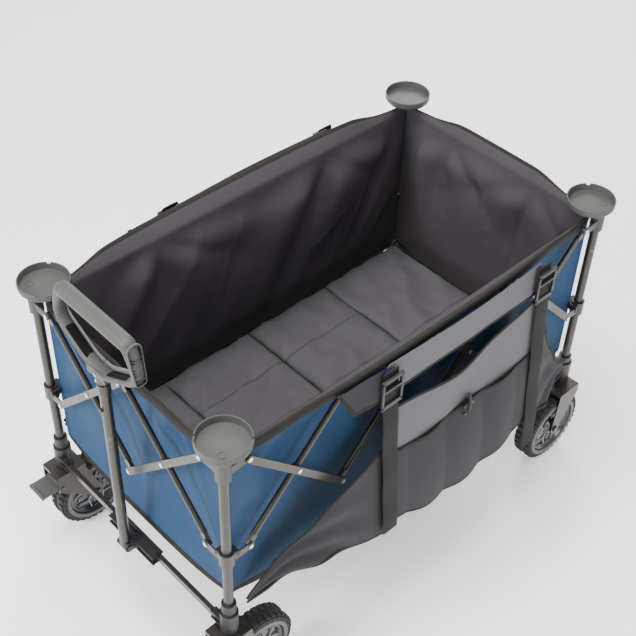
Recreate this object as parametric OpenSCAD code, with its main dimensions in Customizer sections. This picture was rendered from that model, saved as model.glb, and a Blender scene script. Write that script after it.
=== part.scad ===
// Folding beach cart: a four-legged scissor frame with a hung fabric tub,
// two swivel casters in front, two fixed wheels behind and a pull handle.
// X is forward, towards the handle. Y is left. Z is up. Units are millimetres.

/* [Frame] */
// Length of every scissor bar, from end pivot to end pivot
bar_len = 345; // [300:1:420]
// Open width of one scissor bay
bay = 237; // [190:1:260]
// Height of the upper bar pivots above the ground
upper_z = 700; // [640:1:840]
// Distance from a leg's axis to the bar pivot on its tab
tab_reach = 50; // [44:1:70]
// Outside radius of the leg tubes
leg_r = 10; // [8:0.5:12]
// Wall of the leg tubes
leg_wall = 1.5; // [1:0.1:2.5]

/* [Scissor bars] */
// Width of the flat bars
flat_w = 16; // [12:1:20]
// Thickness of the flat bars
flat_t = 3; // [2:0.5:4]
// Radius of the round bars
rod_r = 6; // [5:0.5:7]
// Radius of the bar rivets
rivet_r = 3; // [2.5:0.5:3.5]
// Free play between parts that turn or slide on each other
play = 0.3; // [0.2:0.05:0.5]
// Thickness of the pivot tabs
tab_t = 3; // [2:0.5:4]

/* [Cup holders] */
// Outside radius of a cup holder's dish
cup_r = 52.5; // [45:0.5:60]
// Height of a cup holder's rim above the ground
cup_rim_z = 760; // [740:1:900]
// Depth of a cup holder's dish
cup_depth = 15; // [10:1:17]
// Wall of a cup holder's dish
cup_wall = 3; // [2:0.5:5]
// Distance that the dish sits inward of the leg, along X and along Y
cup_inset = 16; // [8:1:24]

/* [Wheels] */
// Radius of the tyres
tyre_r = 95; // [80:1:104]
// Width of the tyres
tyre_w = 48; // [36:1:56]
// Radius of the rims under the tyres
rim_r = 68; // [50:1:75]
// Radius of the axles
axle_r = 5; // [4:0.5:7]
// Distance that a front wheel trails behind its swivel axis
caster_trail = 55; // [40:1:70]
// Distance that a rear wheel's axle sits forward of its leg
rear_axle_forward = 44; // [20:1:60]
// Distance that a rear wheel sits outward of its leg
rear_wheel_out = 13; // [0:1:20]
// Thickness of the fork plates
fork_t = 3; // [2:0.5:5]
// Distance that a brake pedal reaches in front of the swivel axis
pedal_reach = 84; // [70:1:100]

/* [Handle] */
// Distance from the front legs' axes forward to the handle's axis
handle_forward = 41; // [36:1:60]
// Outside radius of the lower handle tube
handle_r = 11; // [9:0.5:13]
// Outside radius of the sliding handle tube
slide_r = 9; // [7:0.5:10]
// Height of the top of the lower handle tube
outer_top_z = 722; // [620:1:760]
// Distance that the handle pulls out
handle_travel = 300; // [200:5:310]
// Height of the middle of the hand grip
grip_z = 886; // [840:1:940]
// Width of the hand grip
grip_w = 250; // [200:1:300]
// Radius of the hand grip
grip_r = 16; // [13:0.5:20]
// Height of the hand grip's top bar above its lower frame
grip_drop = 130; // [110:1:160]

/* [Fabric] */
// Gap between the tops of the feet and the underside of the tub
tub_clear = 16; // [10:1:30]
// Height of the tub's rim
tub_rim_z = 722; // [600:1:725]
// Thickness of the tub's walls
tub_wall = 3; // [2:0.5:5]
// Gap between the tub and the legs' centre planes
tub_gap = 12; // [11:0.5:20]
// Thickness of the side organisers
organiser_t = 12; // [8:1:16]
// Angle at which the organisers hang outward at the bottom
organiser_tilt = 8; // [4:1:9]

/* [Hidden] */
$fn = 48;

// Where the frame stands when it is open
side_bays = 4;
end_bays = 2;
pivot_x = bay * side_bays / 2;
pivot_y = bay * end_bays / 2;
leg_x = pivot_x + tab_reach;
leg_y = pivot_y + tab_reach;
bar_rise = sqrt(bar_len * bar_len - bay * bay);
bar_angle = atan2(bar_rise, bay);
lower_z = upper_z - bar_rise;

// The origin lies below the middle of the whole cart
rear_end = leg_x - rear_axle_forward + tyre_r;
front_end = leg_x + pedal_reach;
shift_x = (rear_end - front_end) / 2;

// Layers outward from a face's leg plane: round bars, pivot tabs, flat bars
tab_n0 = leg_r - tab_t;
tab_n1 = leg_r;
flat_n0 = tab_n1 + play;
flat_n1 = flat_n0 + flat_t;
tongue_n1 = tab_n0 - play;
tongue_t = 8;
tongue_n0 = tongue_n1 - tongue_t;
tongue_w = 14;
tongue_len = 22;
rod_n = tab_n0 - rod_r;
head_r = rivet_r + 2;
head_t = 2;
tab_h = 18;

// Leg fittings
collar_r = leg_r + 5;
slider_h = 36;
dish_floor_t = 3;
dish_z = cup_rim_z - cup_depth - dish_floor_t;
housing_h = 18;
leg_top_z = dish_z - 4;

// Undercarriage
wheel_side = tyre_w / 2 + 3;
crown_z = 2 * tyre_r + 14;
crown_t = 8;
foot_z = crown_z + crown_t + 2;
stem_r = 6;
foot_r = 19;
foot_h = 60;
leg_foot_z = foot_z + foot_h - 12;
tub_floor_z = foot_z + foot_h + tub_clear;
pedal_x = 30;
pedal_z = crown_z - 30;
bolt_head_r = axle_r + 3;
bolt_head_t = 4;

// Front cross bar and handle bracket
cross_z = foot_z + 26;
cross_x = leg_x + 10;
cross_leg_y = leg_y - 30;
cross_mid_y = 68;
cross_w = 10;
cross_h = 16;
bracket_w = 2 * cross_mid_y + 16;
plate_t = 3;
slot_len = 67;
handle_x = leg_x + handle_forward;
lug_t = 4;
slide_bottom_z = cross_z + 34;
slide_top_z = grip_z - grip_drop - 6;
button_z = outer_top_z - 66;
button_r = 4;
base_z = grip_z - grip_drop;

steel = "#6b665f";
black_plastic = "#2a2a2c";
grey_plastic = "#6f7074";
tyre_colour = "#3c3a39";
rim_colour = "#4b5056";
cloth_blue = "#4b6e9b";

// ---- Placing ----

// Moves the cart so that the origin lies below its middle
module placed() {
    translate([shift_x, 0, 0]) children();
}

// A corner's parts are drawn for the front left one and mirrored to the others
module at_corner(front, left) {
    placed()
        mirror([front ? 0 : 1, 0, 0])
            mirror([0, left ? 0 : 1, 0])
                children();
}

// A face's parts are drawn along X, with Y outward from the leg plane
module on_side(left) {
    placed() mirror([0, left ? 0 : 1, 0]) translate([0, leg_y, 0]) children();
}

module on_end(front) {
    placed() mirror([front ? 0 : 1, 0, 0]) mirror([1, -1, 0]) translate([0, leg_x, 0]) children();
}

// A round piece along the face's outward direction
module across(s, z, n0, n1, r) {
    translate([s, n0, z]) rotate([-90, 0, 0]) cylinder(h = n1 - n0, r = r);
}

// ---- Legs and their fittings ----

module leg(front, left) {
    color(steel) at_corner(front, left)
        translate([leg_x, leg_y, leg_foot_z])
            difference() {
                cylinder(h = leg_top_z - leg_foot_z, r = leg_r);
                translate([0, 0, -1])
                    cylinder(h = leg_top_z - leg_foot_z + 2, r = leg_r - leg_wall);
            }
}

// The two tabs that carry the ends of the side's and the end's bars
module corner_tabs(z) {
    for (swap = [0, 1])
        translate([leg_x, leg_y, 0])
            mirror(swap ? [1, -1, 0] : [0, 0, 0])
                difference() {
                    union() {
                        translate([-tab_reach, tab_n0, z - tab_h / 2])
                            cube([tab_reach, tab_t, tab_h]);
                        across(-tab_reach, z, tab_n0, tab_n1, tab_h / 2);
                    }
                    across(-tab_reach, z, tab_n0 - 1, tab_n1 + 1, rivet_r + play);
                }
}

module slider(front, left) {
    color(black_plastic) at_corner(front, left)
        difference() {
            union() {
                translate([leg_x, leg_y, lower_z - slider_h / 2])
                    cylinder(h = slider_h, r = collar_r);
                corner_tabs(lower_z);
            }
            translate([leg_x, leg_y, lower_z - slider_h])
                cylinder(h = 2 * slider_h, r = leg_r + play);
        }
}

// The dish's wall and floor, turned about its own axis
module dish() {
    rotate_extrude()
        polygon([
            [0, 0], [cup_r - 4, 0], [cup_r - 1, 4], [cup_r - 1, 6], [cup_r, 7],
            [cup_r, cup_depth + dish_floor_t - 1], [cup_r - 1, cup_depth + dish_floor_t],
            [cup_r - cup_wall + 0.5, cup_depth + dish_floor_t],
            [cup_r - cup_wall, cup_depth + dish_floor_t - 1],
            [cup_r - cup_wall - 1.5, dish_floor_t], [0, dish_floor_t],
        ]);
}

module cup_holder(front, left) {
    notch_w = 8;
    notch_h = 5;
    mark_r = 8;
    color(grey_plastic) at_corner(front, left)
        difference() {
            union() {
                translate([leg_x - cup_inset, leg_y - cup_inset, dish_z]) dish();
                // Housing that narrows from the dish to the socket on the leg
                hull() {
                    translate([leg_x - cup_inset, leg_y - cup_inset, dish_z])
                        cylinder(h = 0.5, r = cup_r - 5, $fn = 32);
                    translate([leg_x, leg_y, dish_z - housing_h])
                        cylinder(h = 1, r = collar_r + 1, $fn = 32);
                }
                translate([leg_x, leg_y, upper_z - 22])
                    cylinder(h = dish_z - upper_z + 22.5, r = collar_r);
                corner_tabs(upper_z);
            }
            translate([leg_x, leg_y, upper_z - 40])
                cylinder(h = leg_top_z - upper_z + 40, r = leg_r + 0.1);
            // The rim is open at two places, beside the corner's diagonal
            translate([leg_x - cup_inset, leg_y - cup_inset, dish_z + dish_floor_t])
                rotate([0, 0, -45])
                    translate([-cup_r - 1, -notch_w / 2, cup_depth - notch_h])
                        cube([2 * cup_r + 2, notch_w, notch_h + 1]);
            // Round mark moulded into the dish's floor
            translate([leg_x - cup_inset, leg_y - cup_inset, dish_z + dish_floor_t - 0.8])
                rotate([0, 0, 45])
                    translate([cup_r * 0.55, 0, 0])
                        difference() {
                            cylinder(h = 2, r = mark_r);
                            translate([0, 0, -1]) cylinder(h = 4, r = mark_r - 1.2);
                        }
        }
}

// ---- Scissor bars ----

// Turns a bar drawn along X so that it runs from its lower to its upper pivot
module aim(s_low, s_high) {
    translate([s_low, 0, lower_z])
        rotate([0, s_high > s_low ? -bar_angle : bar_angle - 180, 0])
            children();
}

// Rivet from a flat bar inward: a collar, the shank and its inner head
module flat_rivet(at, inner_n, outer_n) {
    across(at, 0, outer_n + play, flat_n0, head_r + 1);
    across(at, 0, inner_n - play - head_t / 2, flat_n0, rivet_r);
    across(at, 0, inner_n - play - head_t, inner_n - play, head_r);
    across(at, 0, flat_n1, flat_n1 + 1.5, head_r);
}

module flat_bar(s_low, s_high, low_on_tab, high_on_tab) {
    color(steel) aim(s_low, s_high) {
        translate([0, flat_n0, -flat_w / 2]) cube([bar_len, flat_t, flat_w]);
        for (end = [0, bar_len])
            across(end, 0, flat_n0, flat_n1, flat_w / 2);
        flat_rivet(bar_len / 2, rod_n - rod_r, rod_n + rod_r);
        for (end = [[0, low_on_tab], [bar_len, high_on_tab]])
            if (end[1])
                flat_rivet(end[0], tab_n0, tab_n1 - play);
            else
                flat_rivet(end[0], tongue_n0, tongue_n1);
    }
}

// A round bar with flattened ends. Its ends on a tab carry their own rivets
module round_bar(s_low, s_high, low_on_tab, high_on_tab) {
    color(steel) aim(s_low, s_high) {
        difference() {
            union() {
                translate([tongue_len - 4, rod_n, 0])
                    rotate([0, 90, 0])
                        cylinder(h = bar_len - 2 * tongue_len + 8, r = rod_r);
                for (end = [0, bar_len - tongue_len])
                    translate([end, tongue_n0, -tongue_w / 2])
                        cube([tongue_len, tongue_t, tongue_w]);
                for (end = [0, bar_len])
                    across(end, 0, tongue_n0, tongue_n1, tongue_w / 2);
            }
            across(bar_len / 2, 0, rod_n - rod_r - 1, rod_n + rod_r + 1, rivet_r + play);
            for (end = [[0, low_on_tab], [bar_len, high_on_tab]])
                if (!end[1])
                    across(end[0], 0, tongue_n0 - 1, tongue_n1 + 1, rivet_r + play);
        }
        for (end = [[0, low_on_tab], [bar_len, high_on_tab]])
            if (end[1]) {
                across(end[0], 0, tongue_n1 - 1, tab_n1 + play + 1, rivet_r);
                across(end[0], 0, tab_n1 + play, tab_n1 + play + head_t, head_r);
            }
    }
}

// Bay 1 is at the front. Flat bars rise forward and round bars rise backward
module side_flat_bar(left, i) {
    on_side(left) flat_bar(pivot_x - i * bay, pivot_x - (i - 1) * bay, i == side_bays, i == 1);
}

module side_round_bar(left, i) {
    on_side(left) round_bar(pivot_x - (i - 1) * bay, pivot_x - i * bay, i == 1, i == side_bays);
}

// On the ends, flat bars rise to the left and round bars rise to the right
module end_flat_bar(front, left) {
    on_end(front)
        if (left) flat_bar(0, pivot_y, false, true);
        else flat_bar(-pivot_y, 0, true, false);
}

module end_round_bar(front, left) {
    on_end(front)
        if (left) round_bar(pivot_y, 0, true, false);
        else round_bar(0, -pivot_y, false, true);
}

// ---- Undercarriage ----

// One of the two plates, above or below the cross bar, at height z0 upward
module bar_plate(side, x0, x1, y0, y1) {
    gap = cross_h / 2 + play;
    translate([x0, y0, cross_z + (side > 0 ? gap : -gap - plate_t)])
        cube([x1 - x0, y1 - y0, plate_t]);
}

// Foot of a front leg: socket, swivel bore and the clevis for the cross bar
module caster_bracket(left) {
    color(black_plastic) at_corner(true, left)
        difference() {
            union() {
                translate([leg_x, leg_y, foot_z]) cylinder(h = foot_h, r = foot_r);
                translate([leg_x, leg_y, leg_foot_z]) cylinder(h = 42, r = collar_r);
                for (side = [-1, 1])
                    bar_plate(side, cross_x - 8, cross_x + 8, cross_leg_y - 8, leg_y);
            }
            translate([leg_x, leg_y, leg_foot_z]) cylinder(h = 80, r = leg_r + 0.1);
            translate([leg_x, leg_y, foot_z - 1]) cylinder(h = 31, r = stem_r + play);
            translate([cross_x, cross_leg_y, cross_z - 40]) cylinder(h = 80, r = rivet_r + play);
        }
}

// One fork plate's outline in X and Z, from the crown down to the axle
module fork_plate(y, crown_x0, crown_x1, axle_x, extra = 0) {
    translate([0, y, 0])
        rotate([90, 0, 0])
            linear_extrude(height = fork_t, center = true)
                union() {
                    polygon([
                        [crown_x0, crown_z + crown_t], [crown_x0, crown_z - 6],
                        [axle_x - 15, tyre_r], [axle_x + 15, tyre_r],
                        [crown_x1, crown_z - 18 - extra], [crown_x1, crown_z + crown_t],
                    ]);
                    translate([axle_x, tyre_r]) circle(r = 15);
                }
}

// Bolt along Y with a head on each side of the fork
module axle_bolt(x, z, half) {
    translate([x, 0, z]) rotate([90, 0, 0]) {
        cylinder(h = 2 * half, r = axle_r, center = true);
        for (side = [-1, 1])
            translate([0, 0, side * (half + bolt_head_t / 2)])
                cylinder(h = bolt_head_t, r = bolt_head_r, center = true);
    }
}

module caster_fork(left) {
    half = wheel_side + fork_t / 2;
    color(steel) at_corner(true, left) translate([leg_x, leg_y, 0]) {
        difference() {
            union() {
                translate([-34, -half - fork_t / 2, crown_z])
                    cube([74, 2 * half + fork_t, crown_t]);
                for (side = [-1, 1])
                    fork_plate(side * half, -34, 40, -caster_trail, 22);
                translate([0, 0, crown_z]) cylinder(h = crown_t + 28, r = stem_r);
            }
            translate([pedal_x, 0, pedal_z])
                rotate([90, 0, 0])
                    cylinder(h = 4 * half, r = rivet_r + play, center = true);
        }
        axle_bolt(-caster_trail, tyre_r, half + fork_t / 2);
    }
}

// Foot lever on the front of a caster, with the shoe that presses the tyre
module brake_pedal(left) {
    half = wheel_side + fork_t;
    w = 2 * wheel_side - 2;
    color(grey_plastic) at_corner(true, left) translate([leg_x, leg_y, 0]) {
        translate([pedal_x, 0, pedal_z]) rotate([90, 0, 0]) {
            cylinder(h = w, r = 8, center = true);
            cylinder(h = 2 * half + 2 * play, r = rivet_r, center = true);
            for (side = [-1, 1])
                translate([0, 0, side * (half + play + 1)])
                    cylinder(h = 2, r = head_r, center = true);
        }
        translate([pedal_x, -w / 2, pedal_z - 4])
            cube([pedal_reach - pedal_x - 5, w, 7]);
        translate([pedal_reach - 5, 0, pedal_z - 0.5])
            rotate([90, 0, 0])
                cylinder(h = w, r = 5, center = true);
        translate([pedal_x - 6, -w / 2, pedal_z - 15]) cube([9, w, 13]);
    }
}

// Foot of a rear leg with its fixed fork
module rear_fork(left) {
    half = wheel_side + fork_t / 2;
    color(steel) at_corner(false, left) translate([leg_x, leg_y, 0]) {
        difference() {
            union() {
                translate([0, 0, crown_z]) cylinder(h = foot_h + 10, r = foot_r);
                translate([0, 0, leg_foot_z]) cylinder(h = 30, r = collar_r);
                translate([-20, rear_wheel_out - half - fork_t / 2, crown_z])
                    cube([40, 2 * half + fork_t, crown_t]);
                translate([-rear_axle_forward - 6, rear_wheel_out - half - fork_t / 2, crown_z])
                    cube([rear_axle_forward + 6, 2 * half + fork_t, crown_t]);
                translate([0, rear_wheel_out, 0])
                    for (side = [-1, 1])
                        fork_plate(side * half, -rear_axle_forward - 6, 20, -rear_axle_forward);
            }
            translate([0, 0, leg_foot_z]) cylinder(h = 80, r = leg_r + 0.1);
        }
        translate([0, rear_wheel_out, 0])
            axle_bolt(-rear_axle_forward, tyre_r, half + fork_t / 2);
    }
}

// A wheel's axle point, with Y along the axle
module at_wheel(front, left) {
    at_corner(front, left)
        translate([
            leg_x - (front ? caster_trail : rear_axle_forward),
            leg_y + (front ? 0 : rear_wheel_out), tyre_r,
        ])
            rotate([90, 0, 0])
                children();
}

module tyre(front, left) {
    half = tyre_w / 2;
    shoulder = 6;
    color(tyre_colour) at_wheel(front, left)
        rotate_extrude($fn = 96)
            polygon([
                [rim_r, -half + 3], [rim_r + 4, -half], [tyre_r - shoulder, -half],
                [tyre_r - 1.5, -half + shoulder], [tyre_r, -half + 2 * shoulder],
                [tyre_r, half - 2 * shoulder], [tyre_r - 1.5, half - shoulder],
                [tyre_r - shoulder, half], [rim_r + 4, half], [rim_r, half - 3],
            ]);
}

module rim(front, left) {
    spokes = 5;
    half = tyre_w / 2;
    color(rim_colour) at_wheel(front, left)
        difference() {
            union() {
                rotate_extrude($fn = 96)
                    translate([rim_r - 6, -half + 3]) square([6, tyre_w - 6]);
                cylinder(h = tyre_w, r = 15, center = true);
                cylinder(h = 4, r = rim_r - 5, center = true);
                for (i = [0:spokes - 1])
                    rotate([0, 0, i * 360 / spokes])
                        translate([12, -4, -half + 8])
                            cube([rim_r - 16, 8, tyre_w - 16]);
            }
            cylinder(h = tyre_w + 2, r = axle_r + play, center = true);
        }
}

// ---- Front cross bar and handle ----

// Half of the folding bar between the front legs, with its end rivets
module cross_bar(left) {
    plate_top = cross_h / 2 + plate_t + 2 * play;
    color(steel) at_corner(true, left) translate([cross_x, 0, cross_z]) {
        translate([-cross_w / 2, cross_mid_y, -cross_h / 2])
            cube([cross_w, cross_leg_y - cross_mid_y, cross_h]);
        for (y = [cross_mid_y, cross_leg_y])
            translate([0, y, 0]) {
                cylinder(h = cross_h, r = cross_w / 2, center = true);
                cylinder(h = 2 * plate_top + 1, r = rivet_r, center = true);
                for (side = [-1, 1])
                    translate([0, 0, side * (plate_top + head_t / 2)])
                        cylinder(h = head_t, r = head_r, center = true);
            }
    }
}

// Slotted plates that join the cross bar's halves and carry the handle's lugs
module handle_bracket() {
    plate_x0 = cross_x - 10;
    plate_x1 = handle_x - handle_r - 1;
    web_x0 = cross_x + cross_w / 2 + 2;
    pin_r = rivet_r + play;
    lug_r = cross_h / 2 + play + plate_t;
    color(black_plastic) placed() {
        difference() {
            for (side = [-1, 1])
                bar_plate(side, plate_x0, plate_x1, -bracket_w / 2, bracket_w / 2);
            translate([cross_x, cross_mid_y, cross_z - 40]) cylinder(h = 80, r = pin_r);
            for (y = [-cross_mid_y, slot_len - cross_mid_y])
                translate([cross_x, y, cross_z - 40]) cylinder(h = 80, r = pin_r);
            translate([cross_x - pin_r, -cross_mid_y, cross_z - 40])
                cube([2 * pin_r, slot_len, 80]);
        }
        // Web between the plates, in front of the slot
        translate([web_x0, -24, cross_z - lug_r]) cube([plate_x1 - web_x0, 48, 2 * lug_r]);
        for (side = [-1, 1])
            difference() {
                union() {
                    translate([plate_x1 - 4, side * (handle_r + 1 + lug_t / 2) - lug_t / 2, cross_z - lug_r])
                        cube([handle_x - plate_x1 + 4, lug_t, 2 * lug_r]);
                    translate([handle_x, side * (handle_r + 1 + lug_t / 2), cross_z])
                        rotate([90, 0, 0])
                            cylinder(h = lug_t, r = lug_r, center = true);
                }
                translate([handle_x, 0, cross_z])
                    rotate([90, 0, 0])
                        cylinder(h = 80, r = rivet_r + 1 + play, center = true);
            }
    }
}

module handle_outer_tube() {
    color(steel) placed() {
        difference() {
            union() {
                translate([handle_x, 0, cross_z])
                    cylinder(h = outer_top_z - cross_z, r = handle_r);
                translate([handle_x, 0, cross_z])
                    rotate([90, 0, 0])
                        cylinder(h = 2 * handle_r + 1, r = handle_r, center = true);
                translate([handle_x, 0, outer_top_z - 24])
                    cylinder(h = 24, r = handle_r + 2);
            }
            translate([handle_x, 0, cross_z + 30])
                cylinder(h = outer_top_z - cross_z, r = slide_r + play);
            translate([handle_x, 0, button_z])
                rotate([0, 90, 0])
                    cylinder(h = 40, r = button_r + play);
        }
        // Pivot pin with a head on each side
        translate([handle_x, 0, cross_z]) rotate([90, 0, 0]) {
            cylinder(h = 2 * (handle_r + 1 + lug_t + play), r = rivet_r + 1, center = true);
            for (side = [-1, 1])
                translate([0, 0, side * (handle_r + 2 + lug_t + play)])
                    cylinder(h = 2, r = head_r + 2, center = true);
        }
    }
}

// Spring button that locks the sliding tube, in the front of the lower tube
module handle_button() {
    color(black_plastic) placed()
        translate([handle_x + slide_r + 0.6, 0, button_z])
            rotate([0, 90, 0])
                cylinder(h = 5.4, r = button_r);
}

module handle_inner_tube() {
    tube_len = slide_top_z - slide_bottom_z;
    color(steel) placed() translate([handle_x, 0, 0])
        difference() {
            translate([0, 0, slide_bottom_z]) cylinder(h = tube_len, r = slide_r);
            translate([0, 0, slide_bottom_z - 1]) cylinder(h = tube_len + 2, r = slide_r - 1.2);
            // Holes that the button drops into, pushed in and pulled out
            for (z = [button_z, button_z - handle_travel])
                translate([0, 0, z])
                    rotate([0, 90, 0])
                        cylinder(h = 20, r = button_r + 0.5);
        }
}

// A straight rod in the handle's plane between two points given as [y, z]
module grip_rod(a, b, r) {
    d = b - a;
    translate([0, a[0], a[1]])
        rotate([atan2(-d[0], d[1]), 0, 0])
            cylinder(h = norm(d), r = r);
}

module handle_grip() {
    side_r = 9;
    neck_z = base_z - 30;
    elbow = [grip_w / 2 - side_r - 1, grip_z - 0.55 * grip_drop];
    top_y = elbow[0] - 16;
    base_y = 20;
    color(grey_plastic) placed() translate([handle_x, 0, 0])
        difference() {
            union() {
                grip_rod([-top_y, grip_z], [top_y, grip_z], grip_r);
                for (side = [-1, 1]) {
                    translate([0, side * top_y, grip_z]) sphere(r = grip_r + 1);
                    grip_rod([side * top_y, grip_z], [side * elbow[0], elbow[1]], side_r);
                    translate([0, side * elbow[0], elbow[1]]) sphere(r = side_r + 1);
                    grip_rod([side * elbow[0], elbow[1]], [side * base_y, base_z], side_r);
                    translate([0, side * base_y, base_z]) sphere(r = side_r + 1);
                }
                grip_rod([-base_y, base_z], [base_y, base_z], side_r);
                translate([0, 0, neck_z]) cylinder(h = base_z - neck_z, r = handle_r + 3);
            }
            translate([0, 0, neck_z - 1]) cylinder(h = slide_top_z - neck_z + 1, r = slide_r + 0.1);
        }
}

// ---- Fabric ----

module tub_shell() {
    x = leg_x - tub_gap;
    y = leg_y - tub_gap;
    difference() {
        translate([-x, -y, tub_floor_z]) cube([2 * x, 2 * y, tub_rim_z - tub_floor_z]);
        translate([-x + tub_wall, -y + tub_wall, tub_floor_z + tub_wall])
            cube([2 * (x - tub_wall), 2 * (y - tub_wall), tub_rim_z - tub_floor_z]);
    }
}

// Padded mat of four boards on the tub's floor
module tub_mat() {
    mat_t = 6;
    side = leg_y - tub_gap - tub_wall - 4;
    len_x = 2 * (leg_x - tub_gap - tub_wall - 4);
    for (i = [0:3])
        translate([-len_x / 2 + i * len_x / 4 + 1.5, -side, tub_floor_z + tub_wall])
            cube([len_x / 4 - 3, 2 * side, mat_t]);
}

// Pocket panel with a wing to each corner, hung outside one side's bars
module organiser(left) {
    top_z = tub_rim_z - 30;
    drop = top_z - tub_floor_z;
    mirror([0, left ? 0 : 1, 0])
        translate([0, leg_y + flat_n1 + 4, top_z])
            rotate([organiser_tilt, 0, 0])
                translate([0, organiser_t, 0])
                    rotate([90, 0, 0])
                        linear_extrude(height = organiser_t)
                            polygon([
                                [0.31 * leg_x, 0], [0.36 * leg_x, -0.35 * drop],
                                [0.88 * leg_x, -0.97 * drop], [0.39 * leg_x, -1.15 * drop],
                                [-0.1 * leg_x, -1.18 * drop], [-0.66 * leg_x, -1.16 * drop],
                                [-0.88 * leg_x, -0.95 * drop], [-0.6 * leg_x, -0.45 * drop],
                                [-0.5 * leg_x, 0],
                            ]);
}

module fabric_tub() {
    color(cloth_blue) placed() {
        tub_shell();
        tub_mat();
        organiser(true);
        organiser(false);
    }
}

// ---- Nodes ----

leg(true, true);  // leg_front_left
leg(true, false);  // leg_front_right
leg(false, true);  // leg_rear_left
leg(false, false);  // leg_rear_right

cup_holder(true, true);  // cup_holder_front_left
cup_holder(true, false);  // cup_holder_front_right
cup_holder(false, true);  // cup_holder_rear_left
cup_holder(false, false);  // cup_holder_rear_right

slider(true, true);  // slider_front_left
slider(true, false);  // slider_front_right
slider(false, true);  // slider_rear_left
slider(false, false);  // slider_rear_right

end_flat_bar(true, true);  // front_flat_bar_left
end_flat_bar(true, false);  // front_flat_bar_right
end_round_bar(true, true);  // front_round_bar_left
end_round_bar(true, false);  // front_round_bar_right
end_flat_bar(false, true);  // rear_flat_bar_left
end_flat_bar(false, false);  // rear_flat_bar_right
end_round_bar(false, true);  // rear_round_bar_left
end_round_bar(false, false);  // rear_round_bar_right

for (i = [1:side_bays]) {
    side_flat_bar(true, i);
    side_round_bar(true, i);
    side_flat_bar(false, i);
    side_round_bar(false, i);
}

caster_bracket(true);  // caster_bracket_left
caster_bracket(false);  // caster_bracket_right
caster_fork(true);  // caster_fork_left
caster_fork(false);  // caster_fork_right
brake_pedal(true);  // brake_pedal_left
brake_pedal(false);  // brake_pedal_right
rear_fork(true);  // rear_fork_left
rear_fork(false);  // rear_fork_right

tyre(true, true);  // tyre_front_left
tyre(true, false);  // tyre_front_right
tyre(false, true);  // tyre_rear_left
tyre(false, false);  // tyre_rear_right
rim(true, true);  // rim_front_left
rim(true, false);  // rim_front_right
rim(false, true);  // rim_rear_left
rim(false, false);  // rim_rear_right

cross_bar(true);  // cross_bar_left
cross_bar(false);  // cross_bar_right
handle_bracket();
handle_outer_tube();
handle_button();
handle_inner_tube();
handle_grip();
fabric_tub();
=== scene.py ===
# A folding beach cart: steel scissor frame, hung cloth tub with side organisers,
# swivel casters in front, fixed wheels behind and a pull handle.
# X is forward, Y is to the cart's left and Z is up, in metres.
import math

import bmesh
import bpy
from mathutils import Matrix, Vector, noise


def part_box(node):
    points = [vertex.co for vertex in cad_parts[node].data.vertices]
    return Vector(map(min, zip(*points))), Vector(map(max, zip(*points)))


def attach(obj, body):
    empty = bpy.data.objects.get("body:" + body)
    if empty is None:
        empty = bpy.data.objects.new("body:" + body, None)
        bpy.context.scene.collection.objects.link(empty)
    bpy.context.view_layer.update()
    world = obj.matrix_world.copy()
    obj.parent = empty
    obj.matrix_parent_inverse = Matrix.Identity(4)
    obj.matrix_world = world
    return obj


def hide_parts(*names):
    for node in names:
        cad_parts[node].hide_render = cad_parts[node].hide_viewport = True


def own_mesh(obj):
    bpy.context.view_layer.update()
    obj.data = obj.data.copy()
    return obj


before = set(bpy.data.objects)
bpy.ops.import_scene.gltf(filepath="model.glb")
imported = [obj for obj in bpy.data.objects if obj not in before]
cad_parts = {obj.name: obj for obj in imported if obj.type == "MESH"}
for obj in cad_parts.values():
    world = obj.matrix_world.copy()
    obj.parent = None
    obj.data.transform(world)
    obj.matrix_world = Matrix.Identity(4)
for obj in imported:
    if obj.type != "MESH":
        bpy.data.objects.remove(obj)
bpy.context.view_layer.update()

# ---- Studio ----
# A pale floor, four soft lamps and a camera in front of the cart's left
# front corner, above it and looking down into the tub.
camera_data = bpy.data.cameras.new("camera")
camera = bpy.data.objects.new("camera", camera_data)
bpy.context.collection.objects.link(camera)
bpy.context.scene.camera = camera
camera_data.sensor_width = 36.0
camera_data.lens = 67.46
camera_data.clip_end = 50.0
camera_heading = math.radians(-134.44)
camera_drop = math.radians(42.905)
camera_roll = math.radians(2.07)
leg_low, leg_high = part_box("leg_front_left")
rear_low, rear_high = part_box("leg_rear_left")
middle_x = (leg_low[0] + leg_high[0] + rear_low[0] + rear_high[0]) / 4
forward = Vector((
    math.cos(camera_drop) * math.cos(camera_heading),
    math.cos(camera_drop) * math.sin(camera_heading),
    -math.sin(camera_drop),
))
level = forward.cross(Vector((0, 0, 1))).normalized()
upright = level.cross(forward)
right = math.cos(camera_roll) * level + math.sin(camera_roll) * upright
up = -math.sin(camera_roll) * level + math.cos(camera_roll) * upright
turned = Matrix((right, up, -forward)).transposed().to_4x4()
camera.matrix_world = Matrix.Translation((1.3337 + middle_x, 1.3312, 2.2834)) @ turned


def soft_lamp(name, place, aim, size, watts):
    light = bpy.data.lights.new(name, "AREA")
    light.shape = "DISK"
    light.size = size
    light.energy = watts
    lamp = bpy.data.objects.new(name, light)
    lamp.location = place
    lamp.rotation_euler = (Vector(aim) - Vector(place)).to_track_quat("-Z", "Y").to_euler()
    bpy.context.collection.objects.link(lamp)


soft_lamp("overhead", (0.6, 0.0, 3.6), (0, 0, 0.4), 2.0, 150)
soft_lamp("left_wing", (0.2, 3.2, 1.5), (0, 0, 0.4), 1.4, 40)
soft_lamp("front_wing", (3.0, -0.6, 2.2), (-0.3, 0, 0.5), 1.2, 130)
soft_lamp("rear_wing", (-2.8, -2.2, 2.6), (0, 0, 0.5), 1.8, 90)

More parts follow.
